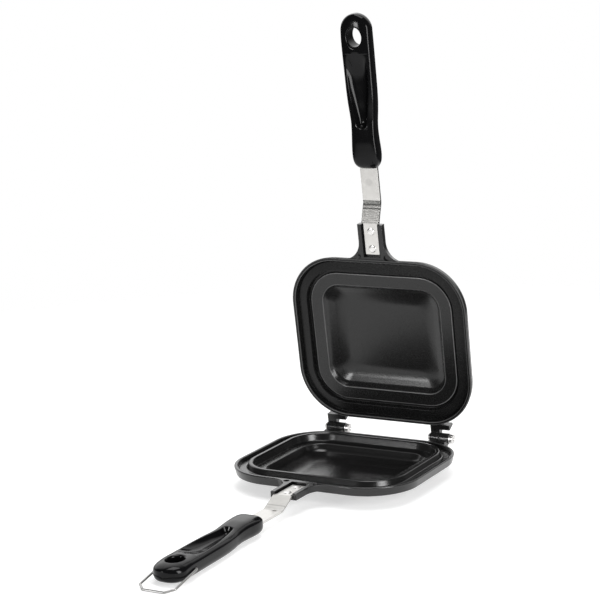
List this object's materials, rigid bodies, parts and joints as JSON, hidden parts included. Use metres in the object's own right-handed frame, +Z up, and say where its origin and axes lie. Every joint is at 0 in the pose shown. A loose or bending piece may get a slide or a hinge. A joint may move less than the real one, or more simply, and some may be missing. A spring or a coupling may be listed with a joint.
{
  "type": "sandwich maker",
  "caption": "Stovetop sandwich press: two hinged square cast pans with crust-sealing rims, each with a steel bracket and a moulded handle, and a wire latch over the handle ends.",
  "frame": {"origin": "middle of the lower pan's flat base, which stands on the hob or table", "axes": "+Z up, handles towards -Y, hinge at the back towards +Y, hinge axis along X"},
  "size_m": [0.1554, 0.3692, 0.3623],
  "materials": {
    "nonstick_casting": "die-cast aluminium under a satin dark grey non-stick coating",
    "handle_phenolic": "glossy black moulded phenolic",
    "bracket_steel": "satin stainless strip",
    "rivet_steel": "plain bright stainless rivet heads",
    "hinge_pin_steel": "plain bright stainless pins and washers",
    "latch_steel": "drawn stainless spring wire"
  },
  "bodies": {
    "lower_half": {"lower_pan": "nonstick_casting", "lower_handle_bracket": "bracket_steel", "lower_bracket_rivet_inner": "rivet_steel", "lower_bracket_rivet_outer": "rivet_steel", "lower_handle": "handle_phenolic", "hinge_pin_left": "hinge_pin_steel", "hinge_washer_left": "hinge_pin_steel", "hinge_pin_right": "hinge_pin_steel", "hinge_washer_right": "hinge_pin_steel"},
    "upper_half": {"upper_pan": "nonstick_casting", "upper_handle_bracket": "bracket_steel", "upper_bracket_rivet_inner": "rivet_steel", "upper_bracket_rivet_outer": "rivet_steel", "upper_handle": "handle_phenolic"},
    "latch": {"latch_wire": "latch_steel"}
  },
  "joints": [
    {"name": "lid_hinge", "type": "hinge", "parent": "lower_half", "child": "upper_half", "pos_m": [0, 0.0795, 0.018], "axis": [-1, 0, 0], "range_deg": [-81.9, 98.1]},
    {"name": "latch_swing", "type": "hinge", "parent": "lower_half", "child": "latch", "pos_m": [0, -0.2435, 0.0074], "axis": [-1, 0, 0], "range_deg": [-156, 133]}
  ]
}
